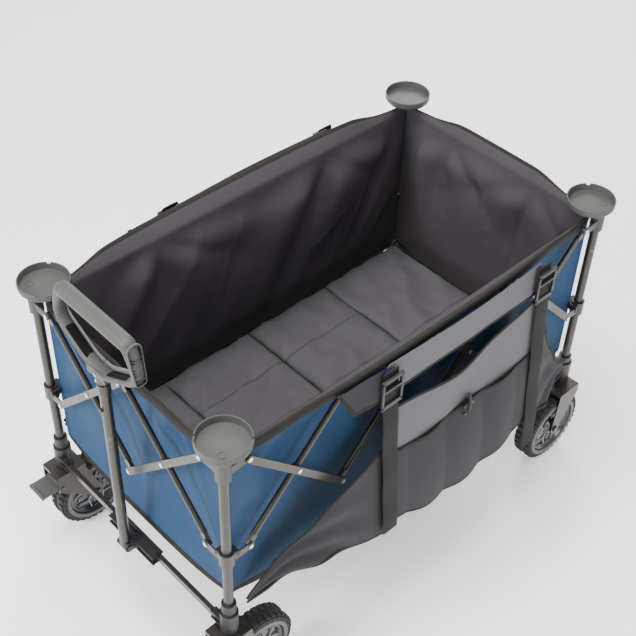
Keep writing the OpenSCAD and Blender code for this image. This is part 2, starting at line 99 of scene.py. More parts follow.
world = bpy.data.worlds.new("studio")
bpy.context.scene.world = world
world.use_nodes = True
world.node_tree.nodes["Background"].inputs["Color"].default_value = (0.94, 0.95, 0.97, 1)
world.node_tree.nodes["Background"].inputs["Strength"].default_value = 0.9

floor_mesh = bpy.data.meshes.new("floor")
floor_mesh.from_pydata(
    [(-12, -12, 0), (12, -12, 0), (12, 12, 0), (-12, 12, 0)], [], [(0, 1, 2, 3)]
)
floor_sheet = bpy.data.objects.new("floor", floor_mesh)
bpy.context.collection.objects.link(floor_sheet)
floor_paint = bpy.data.materials.new("pale floor")
floor_paint.use_nodes = True
floor_paint.node_tree.nodes["Principled BSDF"].inputs["Base Color"].default_value = (0.95, 0.95, 0.95, 1)
floor_paint.node_tree.nodes["Principled BSDF"].inputs["Roughness"].default_value = 0.7
floor_paint.node_tree.nodes["Principled BSDF"].inputs["Emission Color"].default_value = (1, 1, 1, 1)
floor_paint.node_tree.nodes["Principled BSDF"].inputs["Emission Strength"].default_value = 0.4
floor_mesh.materials.append(floor_paint)

# ---- Bars and legs ----
# Mild steel tube and strip, powder coated in a metallic bronze grey with a
# fine orange-peel texture. Bright zinc rivets stand proud of the coat.


def node(tree, kind, **inputs):
    """A new node with its sockets set by name, or linked where a socket is given."""
    made = tree.nodes.new(kind)
    for name, value in inputs.items():
        socket = made.inputs[name.replace("_", " ")] if isinstance(name, str) else made.inputs[name]
        if isinstance(value, bpy.types.NodeSocket):
            tree.links.new(value, socket)
        else:
            socket.default_value = value
    return made


def maths(tree, operation, first, second=0.0):
    made = tree.nodes.new("ShaderNodeMath")
    made.operation = operation
    for socket, value in zip(made.inputs, (first, second)):
        if isinstance(value, bpy.types.NodeSocket):
            tree.links.new(value, socket)
        else:
            socket.default_value = value
    return made.outputs[0]


def mixed(tree, factor, first, second):
    made = tree.nodes.new("ShaderNodeMix")
    made.data_type = "RGBA"
    for index, value in ((0, factor), (6, first), (7, second)):
        if isinstance(value, bpy.types.NodeSocket):
            tree.links.new(value, made.inputs[index])
        else:
            made.inputs[index].default_value = value
    return made.outputs[2]


def effect_group(name, inputs, outputs):
    """An empty shader group with named sockets, and its two end nodes."""
    group = bpy.data.node_groups.new(name, "ShaderNodeTree")
    kinds = {"colour": "NodeSocketColor", "value": "NodeSocketFloat", "vector": "NodeSocketVector"}
    for title, kind in inputs:
        group.interface.new_socket(title, in_out="INPUT", socket_type=kinds[kind])
    for title, kind in outputs:
        group.interface.new_socket(title, in_out="OUTPUT", socket_type=kinds[kind])
    return group, group.nodes.new("NodeGroupInput"), group.nodes.new("NodeGroupOutput")


def finish_material(name, group, values, bump_strength=0.35, bump_depth=0.0005, **shader_values):
    """A material whose shader takes its colour, roughness and bump from one group."""
    material = bpy.data.materials.new(name)
    material.use_nodes = True
    tree = material.node_tree
    shader = tree.nodes["Principled BSDF"]
    effect = tree.nodes.new("ShaderNodeGroup")
    effect.node_tree = group
    place = tree.nodes.new("ShaderNodeTexCoord")
    tree.links.new(place.outputs["Object"], effect.inputs["Place"])
    for title, value in values.items():
        effect.inputs[title].default_value = value
    tree.links.new(effect.outputs["Colour"], shader.inputs["Base Color"])
    tree.links.new(effect.outputs["Roughness"], shader.inputs["Roughness"])
    bump = tree.nodes.new("ShaderNodeBump")
    bump.inputs["Strength"].default_value = bump_strength
    bump.inputs["Distance"].default_value = bump_depth
    tree.links.new(effect.outputs["Height"], bump.inputs["Height"])
    tree.links.new(bump.outputs["Normal"], shader.inputs["Normal"])
    for title, value in shader_values.items():
        shader.inputs[title.replace("_", " ")].default_value = value
    return material


# Hard surfaces: fine grain, broad tone changes and a scatter of light scuffs
hard_group, hard_in, hard_out = effect_group(
    "Hard finish",
    (("Place", "vector"), ("Tint", "colour"), ("Scuff tint", "colour"), ("Grain scale", "value"),
     ("Scuffs", "value"), ("Base roughness", "value")),
    (("Colour", "colour"), ("Roughness", "value"), ("Height", "value")),
)
grain = node(
    hard_group, "ShaderNodeTexNoise", Vector=hard_in.outputs["Place"], Scale=hard_in.outputs["Grain scale"]
)
grain.inputs["Detail"].default_value = 3
tone = node(hard_group, "ShaderNodeTexNoise", Vector=hard_in.outputs["Place"], Scale=9.0)
scuff = node(hard_group, "ShaderNodeTexNoise", Vector=hard_in.outputs["Place"], Scale=55.0)
scuff.inputs["Detail"].default_value = 6
scuff.inputs["Roughness"].default_value = 0.7
scuff_mask = maths(
    hard_group, "MULTIPLY",
    maths(hard_group, "MULTIPLY", maths(
        hard_group, "MAXIMUM", maths(hard_group, "SUBTRACT", scuff.outputs[0], 0.6), 0.0
    ), 6.0),
    hard_in.outputs["Scuffs"],
)
shade = maths(
    hard_group, "ADD",
    maths(hard_group, "MULTIPLY", tone.outputs[0], 0.3),
    maths(hard_group, "ADD", maths(hard_group, "MULTIPLY", grain.outputs[0], 0.3), 0.7),
)
toned = node(hard_group, "ShaderNodeVectorMath")
toned.operation = "SCALE"
hard_group.links.new(hard_in.outputs["Tint"], toned.inputs[0])
hard_group.links.new(shade, toned.inputs["Scale"])
hard_colour = mixed(hard_group, scuff_mask, toned.outputs[0], hard_in.outputs["Scuff tint"])
hard_group.links.new(hard_colour, hard_out.inputs["Colour"])
hard_group.links.new(
    maths(hard_group, "ADD", hard_in.outputs["Base roughness"],
          maths(hard_group, "MULTIPLY", grain.outputs[0], 0.16)),
    hard_out.inputs["Roughness"],
)
hard_group.links.new(grain.outputs[0], hard_out.inputs["Height"])

bronze = (0.06, 0.054, 0.047, 1)
steel_values = {
    "Tint": bronze, "Scuff tint": (0.3, 0.28, 0.26, 1), "Grain scale": 900.0,
    "Scuffs": 0.4, "Base roughness": 0.22,
}
bar_steel = finish_material("Bronze powder coat", hard_group, steel_values, Metallic=0.7)


def rivet_steel(name, axis, centre, outside):
    """The same coat, with bright metal beyond a distance from the cart's middle."""
    material = finish_material(name, hard_group, steel_values, Metallic=0.7)
    tree = material.node_tree
    shader = tree.nodes["Principled BSDF"]
    place = tree.nodes.new("ShaderNodeTexCoord")
    apart = node(tree, "ShaderNodeSeparateXYZ", Vector=place.outputs["Object"])
    distance = maths(tree, "ABSOLUTE", maths(tree, "SUBTRACT", apart.outputs[axis], centre))
    head = maths(tree, "GREATER_THAN", distance, outside)
    coat = shader.inputs["Base Color"].links[0].from_socket
    tree.links.new(mixed(tree, head, coat, (0.78, 0.77, 0.75, 1)), shader.inputs["Base Color"])
    tree.links.new(maths(tree, "MAXIMUM", head, 0.7), shader.inputs["Metallic"])
    return material


def dress(names, material):
    for name in names:
        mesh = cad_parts[name].data
        mesh.materials.clear()
        mesh.materials.append(material)


def side_names(kind):
    return [f"{side}_{kind}_bar_{i}" for side in ("left", "right") for i in range(1, 5)]


def end_names(kind):
    return [f"{end}_{kind}_bar_{side}" for end in ("front", "rear") for side in ("left", "right")]


side_flat_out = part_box("left_flat_bar_1")[1][1]
side_round_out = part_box("left_round_bar_1")[1][1]
end_flat_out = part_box("front_flat_bar_left")[1][0] - middle_x
end_round_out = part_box("front_round_bar_left")[1][0] - middle_x
head_rise = 0.0014
dress(side_names("flat"), rivet_steel("Side strip", 1, 0.0, side_flat_out - head_rise))
dress(side_names("round"), rivet_steel("Side tube", 1, 0.0, side_round_out - head_rise))
dress(end_names("flat"), rivet_steel("End strip", 0, middle_x, end_flat_out - head_rise))
dress(end_names("round"), rivet_steel("End tube", 0, middle_x, end_round_out - head_rise))
corners = [(end, side) for end in ("front", "rear") for side in ("left", "right")]
dress([f"leg_{end}_{side}" for end, side in corners], bar_steel)
dress(["handle_outer_tube"], bar_steel)
dress(["cross_bar_left", "cross_bar_right", "caster_fork_left", "caster_fork_right"], bar_steel)
dress(["rear_fork_left", "rear_fork_right"], bar_steel)

# ---- Moulded fittings ----
# Cup holders and pedals are grey nylon with a fine spark-eroded texture, and
# brackets and the lock button are black nylon. Sliders are coated like the bars.
grey_nylon = finish_material(
    "Grey nylon", hard_group,
    {"Tint": (0.058, 0.057, 0.054, 1), "Scuff tint": (0.13, 0.13, 0.12, 1), "Grain scale": 1400.0,
     "Scuffs": 0.25, "Base roughness": 0.42}, Specular_IOR_Level=0.35,
)
black_nylon = finish_material(
    "Black nylon", hard_group,
    {"Tint": (0.014, 0.014, 0.015, 1), "Scuff tint": (0.06, 0.06, 0.06, 1), "Grain scale": 1400.0,
     "Scuffs": 0.25, "Base roughness": 0.38}, Specular_IOR_Level=0.4,
)
# Near-black nylon, darker than the black nylon, as painted shade in the grip's channel and trough floor
painted_shade_nylon = finish_material(
    "Painted shade black nylon", hard_group,
    {"Tint": (0.005, 0.005, 0.005, 1), "Scuff tint": (0.02, 0.02, 0.02, 1), "Grain scale": 1400.0,
     "Scuffs": 0.2, "Base roughness": 0.6}, Specular_IOR_Level=0.1,
)
# A lighter copy of the grey nylon, as a painted highlight along the inner wall of the grip's lower frame
painted_highlight_nylon = finish_material(
    "Painted highlight nylon", hard_group,
    {"Tint": (0.13, 0.13, 0.127, 1), "Scuff tint": (0.2, 0.2, 0.19, 1), "Grain scale": 1400.0,
     "Scuffs": 0.25, "Base roughness": 0.4},
)
dress([f"cup_holder_{end}_{side}" for end, side in corners], grey_nylon)
dress([f"slider_{end}_{side}" for end, side in corners], bar_steel)
dress(["brake_pedal_left", "brake_pedal_right"], grey_nylon)
dress(["caster_bracket_left", "caster_bracket_right", "handle_bracket", "handle_button"], black_nylon)

bright_steel = finish_material(
    "Bright tube", hard_group,
    {"Tint": (0.42, 0.41, 0.4, 1), "Scuff tint": (0.6, 0.6, 0.6, 1), "Grain scale": 700.0,
     "Scuffs": 0.3, "Base roughness": 0.2}, Metallic=1.0,
)
dress(["handle_inner_tube"], bright_steel)

# ---- Slider inserts ----
# A black nylon wedge fills the corner between each slider's two tabs and
# runs on the leg. It is pressed into the slider from above.


def new_piece(name, mesh, materials, body):
    piece = bpy.data.objects.new(name, mesh)
    bpy.context.collection.objects.link(piece)
    for material in materials:
        mesh.materials.append(material)
    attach(piece, body)
    return piece


def smooth(mesh, angle=math.radians(40)):
    for face in mesh.polygons:
        face.use_smooth = True
    mesh.set_sharp_from_angle(angle=angle)


def mesh_from(name, build):
    """A mesh that build() fills through bmesh, with doubles merged and faces outwards."""
    work = bmesh.new()
    build(work)
    bmesh.ops.remove_doubles(work, verts=work.verts, dist=1e-6)
    bmesh.ops.recalc_face_normals(work, faces=work.faces)
    mesh = bpy.data.meshes.new(name)
    work.to_mesh(mesh)
    work.free()
    return mesh


def bevelled_block(work, low, high, edge, segments=2):
    made = bmesh.ops.create_cube(work, size=1.0)["verts"]
    middle = (Vector(low) + Vector(high)) / 2
    size = Vector(high) - Vector(low)
    for vert in made:
        vert.co = Vector(c * s for c, s in zip(vert.co, size)) + middle
    edges = {e for vert in made for e in vert.link_edges}
    bmesh.ops.bevel(
        work, geom=list(edges), offset=edge, segments=segments, profile=0.6, affect="EDGES"
    )


def lathe(work, profile, centre, axis="Z", steps=48):
    """Turns (radius, height) points round an axis through centre."""
    spin = {
        "Z": Matrix.Identity(3),
        "Y": Matrix.Rotation(math.radians(-90), 3, "X"),
        "X": Matrix.Rotation(math.radians(90), 3, "Y"),
    }[axis]
    rings = []
    for i in range(steps):
        turn = 2 * math.pi * i / steps
        rings.append([
            work.verts.new(Vector(centre) + spin @ Vector((r * math.cos(turn), r * math.sin(turn), z)))
            for r, z in profile
        ])
    for i, ring in enumerate(rings):
        following = rings[(i + 1) % steps]
        for k in range(len(profile) - 1):
            quad = (ring[k], following[k], following[k + 1], ring[k + 1])
            if profile[k][0] < 1e-6:
                quad = (ring[k], following[k + 1], ring[k + 1])
            elif profile[k + 1][0] < 1e-6:
                quad = (ring[k], following[k], ring[k + 1])
            work.faces.new(quad)


for end, side in corners:
    low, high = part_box(f"slider_{end}_{side}")
    leg_a, leg_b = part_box(f"leg_{end}_{side}")
    leg_axis = Vector(((leg_a[0] + leg_b[0]) / 2, (leg_a[1] + leg_b[1]) / 2))
    inward = Vector((-1 if end == "front" else 1, -1 if side == "left" else 1))

    def build(work):
        top = high[2] - 0.004
        outline = ((0.008, 0.008), (-0.005, 0.012), (-0.018, 0.016), (-0.018, -0.002), (-0.0145, -0.0145),
                   (-0.002, -0.018), (0.016, -0.018), (0.012, -0.005))
        loops = []
        for z, grow in ((top - 0.016, 0.94), (top - 0.001, 1.0), (top, 0.94)):
            loops.append([
                work.verts.new((
                    leg_axis.x - inward.x * a * grow + inward.x * 0.004,
                    leg_axis.y - inward.y * b * grow + inward.y * 0.004, z,
                ))
                for a, b in outline
            ])
        for below, above in zip(loops, loops[1:]):
            for k in range(len(outline)):
                j = (k + 1) % len(outline)
                work.faces.new((below[k], below[j], above[j], above[k]))
        work.faces.new(loops[0])
        work.faces.new(loops[-1])

    insert = mesh_from(f"slider_insert_{end}_{side}", build)
    smooth(insert)
    new_piece(f"slider_insert_{end}_{side}", insert, [black_nylon], f"slider_{end}_{side}")

# ---- Wheels ----
# Wide solid tyres with a blocky tread over a light face ring, on smoky
# moulded rims with thin light ribs that fork towards the tyre.


def node_tree(name, inputs):
    tree = bpy.data.node_groups.new(name, "GeometryNodeTree")
    tree.interface.new_socket("Geometry", in_out="INPUT", socket_type="NodeSocketGeometry")
    kinds = {"count": "NodeSocketInt", "length": "NodeSocketFloat", "vector": "NodeSocketVector",
             "material": "NodeSocketMaterial"}
    for title, kind in inputs:
        tree.interface.new_socket(title, in_out="INPUT", socket_type=kinds[kind])
    tree.interface.new_socket("Geometry", in_out="OUTPUT", socket_type="NodeSocketGeometry")
    return tree, tree.nodes.new("NodeGroupInput"), tree.nodes.new("NodeGroupOutput")


# Copies of one piece, turned round the Y axis through the origin
ring_tree, ring_in, ring_out = node_tree("Ring of copies", (("Count", "count"), ("Material", "material")))
ring_line = ring_tree.nodes.new("GeometryNodeMeshLine")
ring_line.inputs["Offset"].default_value = (0, 0, 0)
ring_tree.links.new(ring_in.outputs["Count"], ring_line.inputs["Count"])
ring_index = ring_tree.nodes.new("GeometryNodeInputIndex")
ring_angle = maths(
    ring_tree, "DIVIDE", maths(ring_tree, "MULTIPLY", ring_index.outputs[0], 2 * math.pi),
    ring_in.outputs["Count"],
)
ring_turn = ring_tree.nodes.new("ShaderNodeCombineXYZ")
ring_tree.links.new(ring_angle, ring_turn.inputs["Y"])
ring_copies = ring_tree.nodes.new("GeometryNodeInstanceOnPoints")
ring_tree.links.new(ring_line.outputs[0], ring_copies.inputs["Points"])
ring_tree.links.new(ring_in.outputs["Geometry"], ring_copies.inputs["Instance"])
ring_tree.links.new(ring_turn.outputs[0], ring_copies.inputs["Rotation"])

# Copies of one piece in a straight row
row_tree, row_in, row_out = node_tree(
    "Row of copies", (("Count", "count"), ("Step", "vector"), ("Material", "material"))
)
row_line = row_tree.nodes.new("GeometryNodeMeshLine")
row_tree.links.new(row_in.outputs["Count"], row_line.inputs["Count"])
row_tree.links.new(row_in.outputs["Step"], row_line.inputs["Offset"])
row_copies = row_tree.nodes.new("GeometryNodeInstanceOnPoints")
row_tree.links.new(row_line.outputs[0], row_copies.inputs["Points"])
row_tree.links.new(row_in.outputs["Geometry"], row_copies.inputs["Instance"])

for tree, group_in, group_out, copies in (
    (ring_tree, ring_in, ring_out, ring_copies), (row_tree, row_in, row_out, row_copies),
):
    real = tree.nodes.new("GeometryNodeRealizeInstances")
    painted = tree.nodes.new("GeometryNodeSetMaterial")
    tree.links.new(copies.outputs[0], real.inputs[0])
    tree.links.new(real.outputs[0], painted.inputs["Geometry"])
    tree.links.new(group_in.outputs["Material"], painted.inputs["Material"])
    tree.links.new(painted.outputs[0], group_out.inputs[0])


def copies_of(mesh, tree, values):
    """The mesh that a tree of copies makes from one piece."""
    holder = bpy.data.objects.new("holder", mesh)
    bpy.context.collection.objects.link(holder)
    modifier = holder.modifiers.new("copies", "NODES")
    modifier.node_group = tree
    sockets = {item.name: item.identifier for item in tree.interface.items_tree if item.in_out == "INPUT"}
    for title, value in values.items():
        modifier[sockets[title]] = value
    bpy.context.view_layer.update()
    made = bpy.data.meshes.new_from_object(holder.evaluated_get(bpy.context.evaluated_depsgraph_get()))
    holder.modifiers.remove(modifier)
    bpy.data.objects.remove(holder)
    return made


def merged(name, meshes, move=(0, 0, 0)):
    """Several meshes as one, with each one's materials kept in turn."""
    work = bmesh.new()
    materials = []
    for mesh in meshes:
        first = len(work.faces)
        work.from_mesh(mesh)
        work.faces.ensure_lookup_table()
        base = len(materials)
        materials.extend(mesh.materials)
        for face in work.faces[first:]:
            face.material_index += base
    bmesh.ops.translate(work, verts=work.verts, vec=Vector(move))
    out = bpy.data.meshes.new(name)
    work.to_mesh(out)
    work.free()
    for material in materials:
        out.materials.append(material)
    return out


tyre_rubber = finish_material(
    "Tyre rubber", hard_group,
    {"Tint": (0.03, 0.029, 0.028, 1), "Scuff tint": (0.1, 0.095, 0.09, 1), "Grain scale": 600.0,
     "Scuffs": 0.8, "Base roughness": 0.62}, bump_strength=0.5, Specular_IOR_Level=0.25,
)
face_ring_plastic = finish_material(
    "Tyre face ring", hard_group,
    {"Tint": (0.1, 0.098, 0.095, 1), "Scuff tint": (0.2, 0.19, 0.18, 1), "Grain scale": 800.0,
     "Scuffs": 0.5, "Base roughness": 0.5},
)
smoky_plastic = finish_material(
    "Smoky rim", hard_group,
    {"Tint": (0.022, 0.026, 0.032, 1), "Scuff tint": (0.08, 0.09, 0.1, 1), "Grain scale": 500.0,
     "Scuffs": 0.2, "Base roughness": 0.2}, Coat_Weight=0.3,
)
light_rib = finish_material(
    "Light rib", hard_group,
    {"Tint": (0.27, 0.28, 0.29, 1), "Scuff tint": (0.4, 0.4, 0.4, 1), "Grain scale": 700.0,
     "Scuffs": 0.2, "Base roughness": 0.3},
)

tread_count = 34
rib_count = 5


def tyre_mesh(radius, half, inner):
    def carcass(work):
        tread = radius - 0.005
        lathe(work, [
            (inner + 0.001, -half + 0.004), (inner + 0.003, -half + 0.001), (inner + 0.007, -half),
            (radius - 0.014, -half), (radius - 0.008, -half + 0.002), (tread, -half + 0.007),
            (tread + 0.001, 0), (tread, half - 0.007), (radius - 0.008, half - 0.002),
            (radius - 0.014, half), (inner + 0.007, half), (inner + 0.003, half - 0.001),
            (inner + 0.001, half - 0.004), (inner + 0.001, -half + 0.004),
        ], (0, 0, 0), "Y", 96)

    def lugs(work):
        # Two staggered shoulder blocks, each with a smaller block on the tyre's side
        pitch = 2 * math.pi * radius / tread_count
        for sign in (-1, 1):
            low_y, high_y = sorted((sign * 0.006, sign * (half - 0.0035)))
            shift = sign * pitch / 4
            bevelled_block(
                work, (shift - pitch * 0.32, low_y, radius - 0.009),
                (shift + pitch * 0.32, high_y, radius - 0.0008), 0.0012, 1,
            )
            side_y = sorted((sign * (half - 0.004), sign * half))
            bevelled_block(
                work, (shift - pitch * 0.26, side_y[0], radius - 0.02),
                (shift + pitch * 0.26, side_y[1], radius - 0.006), 0.001, 1,
            )

    body = mesh_from("tyre carcass", carcass)
    body.materials.append(tyre_rubber)
    tread = copies_of(mesh_from("lugs", lugs), ring_tree, {"Count": tread_count, "Material": tyre_rubber})

    def ring(work):
        for sign in (-1, 1):
            lathe(work, [
                (inner + 0.002, sign * (half - 0.002)), (inner + 0.003, sign * (half + 0.0008)),
                (inner + 0.011, sign * (half + 0.0012)), (inner + 0.013, sign * (half - 0.002)),
                (inner + 0.002, sign * (half - 0.002)),
            ], (0, 0, 0), "Y", 96)

    face = mesh_from("face ring", ring)
    face.materials.append(face_ring_plastic)
    return [body, tread, face]


def rim_mesh(outer, half):
    def shell(work):
        lathe(work, [
            (outer, -half + 0.003), (outer, half - 0.003), (outer - 0.004, half - 0.001),
            (outer - 0.008, half - 0.006), (outer - 0.012, half - 0.012), (0.026, half - 0.01),
            (0.02, half - 0.004), (0.017, half - 0.001), (0.01, half), (0.0085, half - 0.003),
            (0.0085, -half + 0.003), (0.01, -half), (0.017, -half + 0.001), (0.02, -half + 0.004),
            (0.026, -half + 0.01), (outer - 0.012, -half + 0.012), (outer - 0.008, -half + 0.006),
            (outer - 0.004, -half + 0.001), (outer, -half + 0.003),
        ], (0, 0, 0), "Y", 80)

    def fork_rib(work):
        # A stem from the hub that forks into two arms towards the tyre
        reach = outer - 0.007
        fork = outer * 0.52
        spread = math.pi / rib_count * 0.62
        for sign in (-1, 1):
            y = sign * (half - 0.0085)
            ends = [
                (Vector((0, y, 0.02)), Vector((0, y, fork))),
                (Vector((0, y, fork)), Vector((reach * math.sin(spread), y, reach * math.cos(spread)))),
                (Vector((0, y, fork)), Vector((-reach * math.sin(spread), y, reach * math.cos(spread)))),
                (Vector((reach * math.sin(spread), y, reach * math.cos(spread))),
                 Vector((reach * math.sin(2 * math.pi / rib_count - spread), y,
                         reach * math.cos(2 * math.pi / rib_count - spread)))),
            ]
            for start, stop in ends:
                along = (stop - start).normalized()
                across = along.cross(Vector((0, 1, 0))) * 0.0011
                depth = Vector((0, 0.0016, 0))
                corners8 = [
                    work.verts.new(point + across * a + depth * b)
                    for point in (start, stop) for a, b in ((-1, -1), (1, -1), (1, 1), (-1, 1))
                ]
                for quad in ((0, 1, 2, 3), (7, 6, 5, 4), (0, 4, 5, 1),
                             (1, 5, 6, 2), (2, 6, 7, 3), (3, 7, 4, 0)):
                    work.faces.new([corners8[k] for k in quad])

    def recess(work):
        # A raised pad between each pair of ribs, which gives the rim its facets
        for sign in (-1, 1):
            mid = (outer - 0.012 + 0.026) / 2
            turn = math.pi / rib_count
            centre = Vector((math.sin(turn) * mid, sign * (half - 0.0105), math.cos(turn) * mid))
            made = bmesh.ops.create_cone(
                work, cap_ends=True, segments=6, radius1=0.0125, radius2=0.009, depth=0.003
            )["verts"]
            tip = Matrix.Rotation(-sign * math.pi / 2, 3, "X")
            for vert in made:
                vert.co = tip @ vert.co + centre

    body = mesh_from("rim shell", shell)
    body.materials.append(smoky_plastic)
    ribs = copies_of(mesh_from("fork rib", fork_rib), ring_tree, {"Count": rib_count, "Material": light_rib})
    pads = copies_of(mesh_from("rim pad", recess), ring_tree, {"Count": rib_count, "Material": smoky_plastic})
    return [body, ribs, pads]


for end, side in corners:
    low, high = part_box(f"tyre_{end}_{side}")
    hub = (Vector(low) + Vector(high)) / 2
    tyre_radius = (high[2] - low[2]) / 2
    rim_low, rim_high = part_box(f"rim_{end}_{side}")
    rim_outer = (rim_high[2] - rim_low[2]) / 2
    half_width = (high[1] - low[1]) / 2
    tyre_all = merged(f"tyre_tread_{end}_{side}", tyre_mesh(tyre_radius, half_width, rim_outer), hub)
    smooth(tyre_all, math.radians(28))
    tyre = new_piece(f"tyre_tread_{end}_{side}", tyre_all, [], f"wheel_{end}_{side}")
    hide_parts(f"tyre_{end}_{side}")
    rim_all = merged(f"rim_face_{end}_{side}", rim_mesh(rim_outer, half_width), hub)
    smooth(rim_all, math.radians(28))
    rim = new_piece(f"rim_face_{end}_{side}", rim_all, [], f"wheel_{end}_{side}")
    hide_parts(f"rim_{end}_{side}")

# ---- Hand grip ----
# A moulded D of grey nylon: a thick round bar, a lower frame in a shallow V
# from the tube's neck, and a left arm that is an open trough with ribs across.
# The trough's floor and a channel along the lower frame are near-black as painted
# shade, and a lighter inner wall beside the channel is a painted highlight.


def tube_along(work, points, sizes, sides=16, closed=False, flat_axis=Vector((1, 0, 0))):
    """An oval tube along points. Each size is (half width along flat_axis, half height)."""
    rings = []
    count = len(points)
    for i, point in enumerate(points):
        ahead = points[(i + 1) % count] if closed or i + 1 < count else point
        behind = points[i - 1] if closed or i > 0 else point
        along = (ahead - behind).normalized()
        high_axis = along.cross(flat_axis).normalized()
        wide, tall = sizes[i]
        rings.append([
            work.verts.new(
                point + flat_axis * wide * math.cos(2 * math.pi * k / sides)
                + high_axis * tall * math.sin(2 * math.pi * k / sides)
            )
            for k in range(sides)
        ])
    steps = count if closed else count - 1
    for i in range(steps):
        ring, following = rings[i], rings[(i + 1) % count]
        for k in range(sides):
            j = (k + 1) % sides
            work.faces.new((ring[k], ring[j], following[j], following[k]))
    if not closed:
        work.faces.new(rings[0])
        work.faces.new(rings[-1])


grip_low, grip_high = [Vector(corner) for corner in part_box("handle_grip")]
grip_x = (grip_low.x + grip_high.x) / 2
grip_half = (grip_high.y - grip_low.y) / 2
bar_radius = (grip_high.x - grip_low.x) / 2 - 0.001
bar_z = grip_high.z - bar_radius - 0.001
base_z = grip_low.z + 0.03
corner_y = grip_half - 0.01


def at_grip(y, z, x=0.0):
    return Vector((grip_x + x, y, z))


def smooth_line(points, steps):
    """A Catmull-Rom curve through points, without the last one."""
    line = []
    ends = [points[0] * 2 - points[1]] + points + [points[-1] * 2 - points[-2]]
    for a, b, c, d in zip(ends, ends[1:], ends[2:], ends[3:]):
        for k in range(steps):
            t = k / steps
            line.append(0.5 * (2 * b + (c - a) * t + (2 * a - 5 * b + 4 * c - d) * t * t
                               + (3 * b - a - 3 * c + d) * t ** 3))
    return line


# Half of the grip's outline as (y, z, half width, half height)
drop = bar_z - base_z
half_outline = (
    (0.0, base_z, 0.0145, 0.0085), (0.026, base_z + 0.003, 0.0145, 0.0085),
    (0.068, base_z + 0.2 * drop, 0.0135, 0.0085), (0.1, base_z + 0.34 * drop, 0.013, 0.009),
    (corner_y, base_z + 0.47 * drop, 0.013, 0.0092), (corner_y, base_z + 0.64 * drop, 0.0135, 0.0095),
    (corner_y - 0.007, base_z + 0.82 * drop, 0.0145, 0.011),
    (corner_y - 0.018, bar_z - 0.002, 0.0155, 0.0145),
    (corner_y - 0.033, bar_z, bar_radius, bar_radius), (0.055, bar_z, bar_radius, bar_radius),
)


def grip_loop(work):
    whole = list(half_outline) + [(0.0, bar_z, bar_radius, bar_radius)]
    whole += [(-y, z, wide, tall) for y, z, wide, tall in reversed(half_outline[1:])]
    places = smooth_line([at_grip(y, z) for y, z, wide, tall in whole + [whole[0]]], 4)[:-4]
    sizes = smooth_line([Vector((wide, tall, 0)) for y, z, wide, tall in whole + [whole[0]]], 4)[:-4]
    count = 4 * len(whole)
    tube_along(work, places[:count], [(v.x, v.y) for v in sizes[:count]], 16, True)


def grip_neck(work):
    low = grip_low.z
    lathe(work, [
        (0.0, low), (0.0135, low), (0.0142, low + 0.002), (0.0142, base_z - 0.008),
        (0.016, base_z), (0.0145, base_z + 0.006), (0.0, base_z + 0.007),
    ], (grip_x, 0, 0), "Z", 32)
    # Cheeks of the neck spread into the lower frame
    for x in (-0.0125, 0.0125):
        bevelled_block(
            work, (grip_x + x - 0.002, -0.028, base_z - 0.014),
            (grip_x + x + 0.002, 0.028, base_z + 0.007), 0.0015, 2,
        )


def grip_flange(work):
    # Inner wall of the lower frame in lighter nylon as a painted highlight, beside its channel in near-black
    # nylon as painted shade
    for side in (-1, 1):
        line = smooth_line([at_grip(side * y, z + 0.0125, -0.0105) for y, z, *_ in half_outline[:5]], 4)
        line.append(at_grip(side * corner_y, half_outline[4][1] + 0.0125, -0.0105))
        tube_along(work, line, [(0.0016, 0.006)] * len(line), 10)


# A thin strip of near-black nylon along the lower frame, as painted shade in its channel
def grip_channel(work):
    for side in (-1, 1):
        line = smooth_line([at_grip(side * y, z + 0.0082, 0.0015) for y, z, *_ in half_outline[1:4]], 4)
        tube_along(work, line, [(0.0095, 0.0016)] * len(line), 10)


# The left arm is an open trough from the bar's end to the lower corner
trough_top = Vector((corner_y - 0.004, bar_z - 0.002))
trough_low = Vector((corner_y + 0.0085, base_z + 0.42 * drop))
trough_out = Vector((0, (trough_top - trough_low).y, (trough_low - trough_top).x)).normalized()


def trough_at(across, down, out=0.0):
    middle = trough_top.lerp(trough_low, down)
    return Vector((grip_x + across, middle.x, middle.y)) + trough_out * out


def trough_half(down):
    return 0.0145 - 0.0035 * down


# The trough's floor is near-black nylon, as painted shade inside the trough
def grip_trough(work):
    floor_rows = [
        [work.verts.new(trough_at(side * trough_half(k / 8) * 0.92, k / 8, -0.001)) for side in (-1, 0, 1)]
        for k in range(9)
    ]
    for above, below in zip(floor_rows, floor_rows[1:]):
        for k in range(2):
            work.faces.new((above[k], above[k + 1], below[k + 1], below[k]))
    bmesh.ops.solidify(work, geom=work.faces[:], thickness=0.0015)


def grip_trough_rim(work):
    rim_line = [trough_at(0.0145 * math.cos(math.pi * k / 12), -0.16 * math.sin(math.pi * k / 12), 0.0015)
                for k in range(13)]
    rim_line += [trough_at(-trough_half(k / 8), k / 8, 0.0015) for k in range(1, 9)]
    rim_line += [trough_at(trough_half(k / 8), k / 8, 0.0015) for k in range(8, 0, -1)]
    tube_along(work, rim_line, [(0.0035, 0.0017)] * len(rim_line), 10, True, trough_out)


def grip_trough_ribs(work):
    for down in (0.22, 0.3, 0.5, 0.58, 0.66, 0.82):
        half = trough_half(down) * 0.95
        line = [trough_at(half * (k / 4 - 1), down + 0.03 * math.sin(math.pi * k / 8), 0.0025)
                for k in range(9)]
        tube_along(work, line, [(0.0028, 0.0009)] * 9, 8, False, trough_out)


def grip_screw(work):
    lathe(work, [(0.0, 0.0018), (0.002, 0.0018), (0.0034, 0.001),
                 (0.0038, 0.0), (0.0038, -0.003), (0.0, -0.003)],
          (grip_x + 0.0138, -0.002, grip_low.z + 0.008), "X", 20)


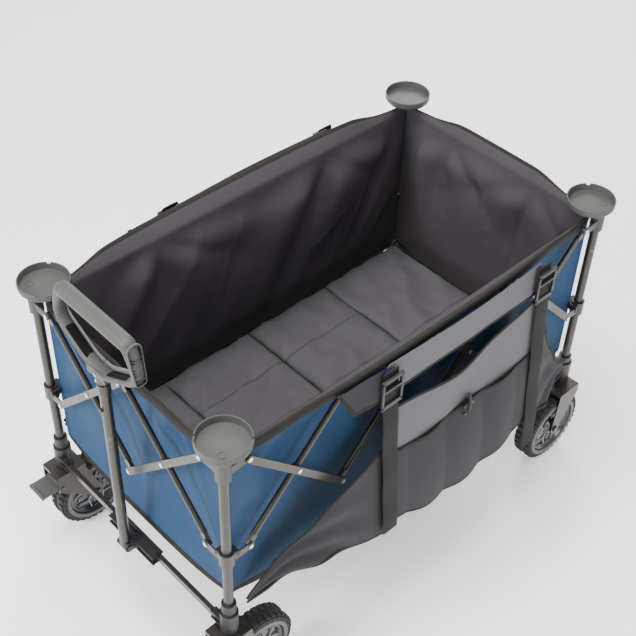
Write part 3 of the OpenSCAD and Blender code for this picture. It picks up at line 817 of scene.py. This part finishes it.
grip_parts = []
for title, build, material in (
    ("loop", grip_loop, grey_nylon), ("neck", grip_neck, grey_nylon), ("flange", grip_flange, painted_highlight_nylon),
    ("channel", grip_channel, painted_shade_nylon), ("trough", grip_trough, painted_shade_nylon),
    ("trough rim", grip_trough_rim, grey_nylon), ("trough ribs", grip_trough_ribs, black_nylon),
):
    part = mesh_from(title, build)
    part.materials.append(material)
    grip_parts.append(part)
grip_parts.append(
    copies_of(mesh_from("screw", grip_screw), row_tree,
              {"Count": 2, "Step": (0, 0, 0.014), "Material": bright_steel})
)
grip_mesh = merged("hand_grip", grip_parts)
smooth(grip_mesh, math.radians(45))
hand_grip = new_piece("hand_grip", grip_mesh, [], "handle_upper")
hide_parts("handle_grip")
rounding = hand_grip.modifiers.new("rounding", "SUBSURF")
rounding.levels = rounding.render_levels = 1

# ---- Tub walls ----
# Woven polyester, blue outside and charcoal inside, sewn in four panels. Each
# panel's top edge rolls out over the upper pivots and ends in a bound rim.

weave_group, weave_in, weave_out = effect_group(
    "Woven cloth",
    (("Place", "vector"), ("Tint", "colour"), ("Worn tint", "colour"), ("Threads", "value"),
     ("Fading", "value"), ("Base roughness", "value")),
    (("Colour", "colour"), ("Roughness", "value"), ("Height", "value")),
)
weave_parts = node(weave_group, "ShaderNodeSeparateXYZ", Vector=weave_in.outputs["Place"])
turns = maths(weave_group, "MULTIPLY", weave_in.outputs["Threads"], 2 * math.pi)
warp = maths(weave_group, "SINE", maths(weave_group, "MULTIPLY", weave_parts.outputs[0], turns))
weft = maths(weave_group, "SINE", maths(weave_group, "MULTIPLY", weave_parts.outputs[1], turns))
crossing = maths(weave_group, "MULTIPLY", warp, weft)
thread_height = maths(weave_group, "ADD", maths(weave_group, "MULTIPLY", crossing, 0.25), 0.5)
slub = node(weave_group, "ShaderNodeTexNoise", Vector=weave_in.outputs["Place"], Scale=320.0)
slub.inputs["Detail"].default_value = 2
fade = node(weave_group, "ShaderNodeTexNoise", Vector=weave_in.outputs["Place"], Scale=5.0)
fade.inputs["Detail"].default_value = 4
weave_shade = maths(
    weave_group, "ADD", maths(weave_group, "MULTIPLY", slub.outputs[0], 0.28),
    maths(weave_group, "ADD", maths(weave_group, "MULTIPLY", thread_height, 0.24), 0.74),
)
threaded = node(weave_group, "ShaderNodeVectorMath")
threaded.operation = "SCALE"
weave_group.links.new(weave_in.outputs["Tint"], threaded.inputs[0])
weave_group.links.new(weave_shade, threaded.inputs["Scale"])
weave_group.links.new(
    mixed(weave_group, maths(weave_group, "MULTIPLY", fade.outputs[0], weave_in.outputs["Fading"]),
          threaded.outputs[0], weave_in.outputs["Worn tint"]),
    weave_out.inputs["Colour"],
)
weave_group.links.new(
    maths(weave_group, "ADD", weave_in.outputs["Base roughness"],
          maths(weave_group, "MULTIPLY", slub.outputs[0], 0.15)),
    weave_out.inputs["Roughness"],
)
weave_group.links.new(
    maths(weave_group, "ADD", thread_height, maths(weave_group, "MULTIPLY", slub.outputs[0], 0.5)),
    weave_out.inputs["Height"],
)


def cloth(name, tint, worn, threads=480.0, fading=0.35, roughness=0.55, sheen=0.0, gloss=0.12):
    material = finish_material(
        name, weave_group,
        {"Tint": tint, "Worn tint": worn, "Threads": threads, "Fading": fading, "Base roughness": roughness},
        bump_strength=0.5, bump_depth=0.0004, Sheen_Weight=sheen, Specular_IOR_Level=gloss,
    )
    place = next(n for n in material.node_tree.nodes if n.type == "TEX_COORD")
    effect = next(n for n in material.node_tree.nodes if n.type == "GROUP")
    material.node_tree.links.new(place.outputs["UV"], effect.inputs["Place"])
    return material


blue_cloth = cloth("Blue cloth", (0.017, 0.048, 0.108, 1), (0.026, 0.066, 0.135, 1))
liner_cloth = cloth("Charcoal liner", (0.04, 0.035, 0.039, 1), (0.066, 0.059, 0.065, 1))
tape_cloth = cloth("Olive black tape", (0.014, 0.0135, 0.012, 1), (0.026, 0.025, 0.022, 1), 260.0, 0.3, 0.6)
mat_cloth = cloth("Grey mat", (0.068, 0.064, 0.068, 1), (0.108, 0.103, 0.108, 1))

leg_axis_x = (leg_low[0] + leg_high[0]) / 2 - middle_x
leg_axis_y = (leg_low[1] + leg_high[1]) / 2
wall_gap = 0.0125
floor_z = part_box("caster_bracket_left")[1][2] - 0.014
hem_drop = 0.014
hem_width = 0.024
pivot_clear_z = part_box("left_flat_bar_1")[1][2] + 0.0005
flange_z = pivot_clear_z + 0.009
flange_reach = 0.036
rim_rise = 0.016
rim_top_z = flange_z + 0.005 + rim_rise
lip_drop = 0.016


def sheet_grid(name, columns, rows, at, band=None, uv_scale=(1.0, 1.0)):
    """A grid of (columns + 1) by (rows + 1) points given by at(u, v), with its UV in metres."""
    work = bmesh.new()
    uv = work.loops.layers.uv.new("cloth")
    grid = [[work.verts.new(at(i / columns, j / rows)) for i in range(columns + 1)] for j in range(rows + 1)]
    for j in range(rows):
        for i in range(columns):
            face = work.faces.new((grid[j][i], grid[j][i + 1], grid[j + 1][i + 1], grid[j + 1][i]))
            face.smooth = True
            for loop, (a, b) in zip(face.loops, ((i, j), (i + 1, j), (i + 1, j + 1), (i, j + 1))):
                loop[uv].uv = (a / columns * uv_scale[0], b / rows * uv_scale[1])
            if band:
                face.material_index = band((i + 0.5) / columns, (j + 0.5) / rows)
    mesh = bpy.data.meshes.new(name)
    work.to_mesh(mesh)
    work.free()
    return mesh


def area_of(mesh):
    return sum(face.area for face in mesh.polygons)


def fade_in(value, start, stop):
    t = min(max((value - start) / (stop - start), 0.0), 1.0)
    return t * t * (3 - 2 * t)


# Heights up a panel as (share of the flange's reach, height), from hem to lip
wall_rows = [(0.0, floor_z - hem_drop), (0.0, floor_z - hem_drop + hem_width)]
wall_rows += [
    (0.0, floor_z - hem_drop + hem_width + (pivot_clear_z - 0.004 - floor_z + hem_drop - hem_width) * k / 32)
    for k in range(1, 33)
]
wall_rows += [(0.03, pivot_clear_z + 0.0015), (0.16, flange_z - 0.005),
              (0.42, flange_z - 0.001), (0.72, flange_z + 0.003)]
wall_rows += [(0.95, flange_z + 0.005), (1.02, flange_z + 0.002),
              (1.04, flange_z - lip_drop * 0.5), (1.0, flange_z - lip_drop)]
hem_rows = 1
first_tape_row = len(wall_rows) - 5


def wall_fold(s, z, half, seed, slack):
    """How far a wall's cloth stands in (negative) or out at s along it and height z."""
    held = min(fade_in(half - abs(s), 0.0, 0.09), fade_in(z, floor_z - 0.01, floor_z + 0.1))
    held *= 1.0 - fade_in(z, pivot_clear_z - 0.08, pivot_clear_z)
    lean = s + 0.35 * slack * (z - 0.5)
    broad = noise.noise(Vector((lean * 3.2 + seed, z * 1.6, seed * 1.7)))
    fine = noise.noise(Vector((lean * 11.0 + seed * 3, z * 2.2, seed)))
    # Creases run down and out from each upper pivot that the rim is tied to
    rays = 0.0
    for tie in (-half * 0.47, half * 0.47):
        away = math.hypot(s - tie, pivot_clear_z - z)
        angle = math.atan2(s - tie + 0.4 * slack * away, pivot_clear_z - z + 0.001)
        ray = 0.4 - abs(math.sin(angle * 3.5 + seed + tie))
        rays += ray * math.exp(-away * 4.5) * fade_in(away, 0.01, 0.07)
    belly = -0.008 * math.cos(math.pi * s / (2 * half)) ** 2
    # Upright folds gather under the rim, and a sharper crease runs beside each one
    gather = 0.008 * math.sin(lean * 27 + 6 * broad) * fade_in(z, 0.3, 0.62)
    sharp = -0.006 * math.exp(-abs(fine) * 26) * fade_in(z, 0.36, 0.5)
    depth = -0.008 + belly + 0.017 * broad + 0.009 * fine + 0.02 * rays + gather + sharp
    return max(-0.036, min(0.001, held * depth))


def wall(name, half, to_world, seed, body, slack, hem_sag):
    rows = len(wall_rows) - 1
    columns = max(24, int(half * 190))

    def at(u, v):
        s = (u * 2 - 1) * half
        share, z = wall_rows[min(int(round(v * rows)), rows)]
        reach = flange_reach * (1 - abs(s / half) ** 3.0) * (0.55 + 0.45 * (half > 0.4))
        # The hem hangs lower between the corners, below the floor
        low = 1 - fade_in(z, floor_z - hem_drop, floor_z + 0.05)
        hem = (0.03 * abs(s / half) ** 4 - hem_sag * (1 - (s / half) ** 2)) * low
        n = share * reach + wall_fold(s, z, half, seed, slack)
        # The rim bows up between the cup holders
        rise = rim_rise * min(share, 1.0) * fade_in(half - abs(s), 0.075, 0.17)
        return to_world(s, n, z + hem + rise)

    mesh = sheet_grid(name, columns, rows, at, lambda u, v: (
        2 if v * rows < hem_rows or v * rows > first_tape_row else 0
    ), (half * 2, 0.5))
    flat = (half * 2, area_of(mesh) / (half * 2))
    piece = new_piece(name, mesh, [blue_cloth, liner_cloth, tape_cloth, tape_cloth], body)
    thick = piece.modifiers.new("cloth", "SOLIDIFY")
    thick.thickness = 0.0016
    thick.offset = -1.0
    thick.material_offset = 1
    soft = piece.modifiers.new("soft", "SUBSURF")
    soft.levels = soft.render_levels = 1
    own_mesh(piece)
    return piece, flat


wall_x = leg_axis_x - wall_gap
wall_y = leg_axis_y - wall_gap
walls = {
    "tub_wall_left": wall("tub_wall_left", wall_x,
                          lambda s, n, z: Vector((middle_x - s, wall_y + n, z)), 1.3,
                          "leg_front_left", 0.6, 0.048),
    "tub_wall_right": wall("tub_wall_right", wall_x,
                           lambda s, n, z: Vector((middle_x + s, -wall_y - n, z)), 4.1,
                           "leg_front_right", 1.6, 0.048),
    "tub_wall_front": wall("tub_wall_front", wall_y,
                           lambda s, n, z: Vector((middle_x + wall_x + n, s, z)), 7.7,
                           "leg_front_left", 0.3, 0.006),
    "tub_wall_rear": wall("tub_wall_rear", wall_y,
                          lambda s, n, z: Vector((middle_x - wall_x - n, -s, z)), 9.2,
                          "leg_rear_left", -0.2, 0.006),
}
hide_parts("fabric_tub")

# ---- Floor mat ----
# Four rows of padded boards in grey cloth, in a left and a right half. The two
# middle rows are in two strips a side, and piping runs along the outer edge.
mat_x = wall_x - 0.004
mat_y = wall_y - 0.004
board_count = 4
mat_top = floor_z + 0.012
edge_tolerance = 1e-6
seam_softness = 0.011
side_softness = 0.012


def mat_point(x, y, sign):
    """The mat's top at x from the middle and y from the centre line, on one side."""
    board = ((x / mat_x + 1) / 2 * board_count) % 1.0
    seam = min(board, 1 - board) * 2 * mat_x / board_count
    if mat_x - abs(x) < edge_tolerance:
        seam = 0.0
    puff = 1 - math.exp(-seam / seam_softness)
    edge = 1 - math.exp(-(mat_y - y) / side_softness)
    ripple = noise.noise(Vector((x * 7, y * 4 * sign, 2.0))) * 0.007
    ripple += (0.3 - abs(noise.noise(Vector((x * 9 + y * 5, y * 8 * sign, 5.0))))) * 0.015
    ripple += noise.noise(Vector((x * 28, y * 20 * sign, 9.0))) * 0.003
    gather = 0.0016 * math.sin(y * 150 + 3 * ripple / 0.007) * math.exp(-seam / 0.03)
    return Vector((middle_x + x, sign * y, mat_top - 0.007 + 0.011 * puff * edge + (ripple + gather) * puff))


def mat_piece(name, side, end, x_span, y_span):
    sign = 1 if side == "left" else -1
    spans = (x_span, y_span) if sign > 0 else (x_span[::-1], y_span)

    def at(u, v):
        return mat_point(
            spans[0][0] + (spans[0][1] - spans[0][0]) * u, y_span[0] + (y_span[1] - y_span[0]) * v, sign
        )

    rows = max(12, int((y_span[1] - y_span[0]) * 160))
    mesh = sheet_grid(f"floor_mat_{name}", 44, rows, at, None, (x_span[1] - x_span[0], y_span[1] - y_span[0]))
    piece = new_piece(f"floor_mat_{name}", mesh, [mat_cloth], f"leg_{end}_{side}")
    thick = piece.modifiers.new("pad", "SOLIDIFY")
    thick.thickness = 0.006
    thick.offset = -1.0
    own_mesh(piece)


def mat_piping(name, side, end, points):
    def build(work):
        tube_along(work, points, [(0.0028, 0.0028)] * len(points), 8, False, Vector((0, 0, 1)))

    mesh = mesh_from(f"mat_piping_{name}", build)
    smooth(mesh)
    piece = new_piece(f"mat_piping_{name}", mesh, [tape_cloth], f"leg_{end}_{side}")
    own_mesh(piece)


# An end board narrows between the legs as the frame folds. A middle board is
# in two strips, and its inner strip draws in towards its own side as well.
for end, side in corners:
    along, sign = (1 if end == "front" else -1), (1 if side == "left" else -1)
    end_span = sorted((along * mat_x / 2, along * mat_x))
    mid_span = sorted((0.0, along * mat_x / 2))
    mat_piece(f"{end}_{side}", side, end, end_span, (0.0, mat_y))
    mat_piece(f"mid_{end}_{side}", side, end, mid_span, (mat_y / 2, mat_y))
    mat_piece(f"inner_{end}_{side}", side, end, mid_span, (0.0, mat_y / 2))
    top = mat_top - 0.001
    edge_y = sign * (mat_y - 0.001)
    end_line = [Vector((middle_x + along * (mat_x - 0.002), sign * y, top))
                for y in (0.004, mat_y / 2, mat_y - 0.006)]
    end_line += [Vector((middle_x + along * (mat_x - 0.004 - (mat_x / 2 - 0.004) * k / 12), edge_y, top))
                 for k in range(13)]
    mid_line = [Vector((middle_x + along * mat_x / 2 * (1 - k / 12), edge_y, top)) for k in range(13)]
    mat_piping(f"{end}_{side}", side, end, end_line)
    mat_piping(f"mid_{end}_{side}", side, end, mid_line)

# ---- Side organisers ----
# On each side a panel hangs from the rim by two webbing straps with buckles: a
# light band, a sagging open pocket, a pleated pouch and a wing to each corner.
pocket_cloth = cloth("Light grey pocket", (0.105, 0.103, 0.116, 1), (0.15, 0.148, 0.163, 1))
pouch_cloth = cloth("Dark grey pouch", (0.028, 0.027, 0.03, 1), (0.047, 0.045, 0.05, 1))
webbing = cloth("Webbing", (0.013, 0.0125, 0.0115, 1), (0.024, 0.023, 0.021, 1), 160.0, 0.3, 0.55)
strap_front_x, strap_rear_x = 0.158, -0.292
strap_width = 0.042
band_top_z, band_low_z = rim_top_z - 0.006, 0.657
mouth_z, mouth_sag, mouth_fall = 0.642, 0.02, 0.032
pouch_z, pouch_sag = 0.497, 0.012
panel_low_z = 0.306
panel_low_sag = 0.035
rim_out_y = wall_y + flange_reach * 1.04 + 0.004
hang_slope = 0.09
wing_front = (0.496, 0.312)
wing_rear = (-0.486, 0.312)


def panel_out(x, z):
    """How far out the organiser hangs at x forward of the middle and height z."""
    out = rim_out_y + (band_top_z - z) * hang_slope
    if x > strap_front_x:
        t = (x - strap_front_x) / (wing_front[0] - strap_front_x)
        return out + (leg_axis_y + 0.022 - out) * fade_in(t, 0, 1)
    if x < strap_rear_x:
        t = (strap_rear_x - x) / (strap_rear_x - wing_rear[0])
        return out + (leg_axis_y + 0.022 - out) * fade_in(t, 0, 1)
    return out


def ripple(x, z, seed, size):
    return size * (
        noise.noise(Vector((x * 7 + seed, z * 5, seed)))
        + 0.5 * noise.noise(Vector((x * 19 + seed, z * 9, seed)))
    )


def between(u, a=strap_rear_x, b=strap_front_x):
    return a + (b - a) * u


def mouth_edge(u):
    return mouth_z - mouth_fall * u - mouth_sag * math.sin(math.pi * u)


def pouch_edge(u):
    return pouch_z - pouch_sag * abs(math.sin(2 * math.pi * u))


def low_edge(u):
    return panel_low_z - panel_low_sag * math.sin(math.pi * u) + 0.003 * math.sin(u * 23)


def wing_top(t, front):
    start, curve = (0.525, 0.85) if front else (0.62, 1.5)
    corner = wing_front if front else wing_rear
    return corner[1] + (start - corner[1]) * (1 - t) ** curve


def wing_low(t, front):
    corner = wing_front if front else wing_rear
    start = panel_low_z - (0.03 if front else 0.02)
    stop = corner[1] - (0.012 if front else 0.04)
    return start + (stop - start) * t + (0.014 if front else -0.016) * math.sin(math.pi * t)


def organiser(side):
    sign = 1 if side == "left" else -1
    body = f"leg_front_{side}"

    def place(x, z, out=0.0):
        return Vector((middle_x + x, sign * (panel_out(x, z) + out), z))

    def band_at(u, v):
        x, z = between(u), band_low_z + (band_top_z - band_low_z) * v
        bow = math.sin(math.pi * u)
        return place(x, z, 0.001 + 0.007 * bow * v + ripple(x, z, 3.3, 0.0016) * bow)

    def pocket_at(u, v):
        x = between(u)
        z = pouch_edge(u) - 0.02 + (mouth_edge(u) - pouch_edge(u) + 0.02) * v
        belly = 0.010 * math.sin(math.pi * u) * v
        folds = 0.007 * math.sin(u * 9.5 + v * 2) * v * math.sin(math.pi * u)
        return place(x, z, belly + folds + ripple(x, z, 8.1, 0.003) * math.sin(math.pi * u))

    def pouch_at(u, v):
        x = between(u)
        z = low_edge(u) + (pouch_edge(u) - low_edge(u)) * v
        pleats = 0.007 * abs(math.sin(math.pi * (u * 4 + 0.5))) * fade_in(min(u, 1 - u), 0.05, 0.15)
        slack = 0.009 * math.sin(math.pi * v) * math.sin(math.pi * u)
        return place(x, z, 0.004 + slack + pleats + ripple(x, z, 5.9, 0.003) * math.sin(math.pi * u))

    def tab_at(u, v):
        z = band_low_z + 0.008 + (band_top_z - 0.002 - band_low_z - 0.008) * v
        x = strap_front_x + 0.012 + u * (0.072 + 0.034 * v)
        return place(x, z, 0.006 - 0.008 * u * v + 0.002 * math.sin(u * 5 + v * 3))

    def wing_at(front):
        def at(u, v):
            strap, corner = (strap_front_x, wing_front[0]) if front else (strap_rear_x, wing_rear[0])
            x = strap + (corner - strap) * u
            z = wing_low(u, front) + (wing_top(u, front) - wing_low(u, front)) * v
            held = math.sin(math.pi * min(max((u - 0.08) / 0.92, 0.0), 1.0))
            draws = 0.006 * math.sin((u - v) * 14 + 1.0) * held * (1 - v * 0.4)
            return place(x, z, draws + ripple(x, z, 2.2 + front, 0.007) * held)
        return at

    cloths = (
        ("band", band_at, pocket_cloth, 40, 4, (0.45, 0.046)),
        ("tab", tab_at, pouch_cloth, 16, 12, (0.1, 0.06)),
        ("pocket", pocket_at, pocket_cloth, 48, 14, (0.45, 0.12)),
        ("pouch", pouch_at, pouch_cloth, 64, 18, (0.45, 0.24)),
        ("wing_front", wing_at(True), pouch_cloth, 36, 24, (0.3, 0.3)),
        ("wing_rear", wing_at(False), pouch_cloth, 26, 24, (0.2, 0.3)),
    )
    pieces = []
    for title, at, material, columns, rows, scale in cloths:
        mesh = sheet_grid(f"organiser_{title}_{side}", columns, rows, at, None, scale)
        piece = new_piece(f"organiser_{title}_{side}", mesh, [material], body)
        thick = piece.modifiers.new("cloth", "SOLIDIFY")
        thick.thickness = 0.0014
        soft = piece.modifiers.new("soft", "SUBSURF")
        soft.levels = soft.render_levels = 1
        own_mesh(piece)
        pieces.append(piece)

    def bindings(work):
        """Folded tape round the cut edges, as flat ovals along them."""
        edges = [
            [band_at(k / 30, 0.0) for k in range(31)],
            [tab_at(k / 10, 0.0) for k in range(10)] + [tab_at(1.0, k / 10) for k in range(11)],
            [pocket_at(k / 40, 1.0) for k in range(41)],
            [pouch_at(k / 40, 1.0) for k in range(41)],
            [pouch_at(k / 40, 0.0) for k in range(41)],
        ]
        for front in (True, False):
            edges.append([wing_at(front)(k / 30, 1.0) for k in range(31)])
            edges.append([wing_at(front)(k / 30, 0.0) for k in range(31)])
        for edge in edges:
            tube_along(work, edge, [(0.0017, 0.005)] * len(edge), 10, False, Vector((0, 1, 0)))

    def straps(work):
        for x, low_z in ((strap_front_x, 0.288), (strap_rear_x, 0.218)):
            line = []
            top_z = band_top_z - 0.004
            for k in range(31):
                z = top_z - (top_z - low_z) * k / 30
                out = 0.0115 + 0.0012 * math.sin(k * 0.7 + x * 9)
                line.append(Vector((middle_x + x, sign * (panel_out(x, z) + out), z)))
            tube_along(work, line, [(strap_width / 2, 0.0012)] * len(line), 12, False)

    def stitch(work):
        x = middle_x + strap_rear_x
        y = sign * (panel_out(0, band_low_z + 0.008) + 0.0022)
        bevelled_block(work, (x + 0.024, y - 0.0005, band_low_z + 0.0085),
                       (x + 0.0275, y + 0.0005, band_low_z + 0.0095), 0.0002, 1)

    trims = []
    for title, build, material in (("bindings", bindings, tape_cloth), ("straps", straps, webbing)):
        part = mesh_from(title, build)
        part.materials.append(material)
        trims.append(part)
    trims.append(copies_of(
        mesh_from("stitch", stitch), row_tree, {"Count": 78, "Step": (0.0052, 0, 0), "Material": pocket_cloth}
    ))

    # Ladder-lock buckles: a frame of five bars that the strap threads through
    def buckle(x):
        def build(work):
            z = 0.681
            y = sign * (panel_out(x, z) + 0.0155)
            for low, high in (
                ((-0.028, -0.036), (-0.0215, 0.034)), ((0.0215, -0.036), (0.028, 0.034)),
                ((-0.028, 0.028), (0.028, 0.036)), ((-0.024, 0.004), (0.024, 0.010)),
                ((-0.028, -0.04), (0.028, -0.029)),
            ):
                bevelled_block(
                    work, (middle_x + x + low[0], y - 0.003, z + low[1]),
                    (middle_x + x + high[0], y + 0.003, z + high[1]), 0.0012, 2,
                )
        return build

    for x in (strap_front_x, strap_rear_x):
        part = mesh_from("buckle", buckle(x))
        part.materials.append(black_nylon)
        trims.append(part)

    def toggle(work):
        x = (strap_front_x + strap_rear_x) / 2
        y = sign * (panel_out(x, pouch_z) + 0.016)
        line = [Vector((middle_x + x + a, y + sign * b, pouch_z + c)) for a, b, c in (
            (-0.006, -0.008, 0.022), (-0.004, 0.0, 0.012), (0.0, 0.004, 0.0), (0.004, 0.006, -0.012),
            (0.012, 0.006, -0.018), (0.018, 0.005, -0.010),
        )]
        tube_along(work, line, [(0.004, 0.0028)] * len(line), 12, False)
        bevelled_block(work, (middle_x + x - 0.016, y - 0.002, pouch_z - 0.004),
                       (middle_x + x + 0.016, y + 0.002, pouch_z + 0.005), 0.0015, 2)

    part = mesh_from("toggle", toggle)
    part.materials.append(black_nylon)
    trims.append(part)
    trim_mesh = merged(f"organiser_trim_{side}", trims)
    smooth(trim_mesh)
    trim = new_piece(f"organiser_trim_{side}", trim_mesh, [], body)
    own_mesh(trim)


for side in ("left", "right"):
    organiser(side)
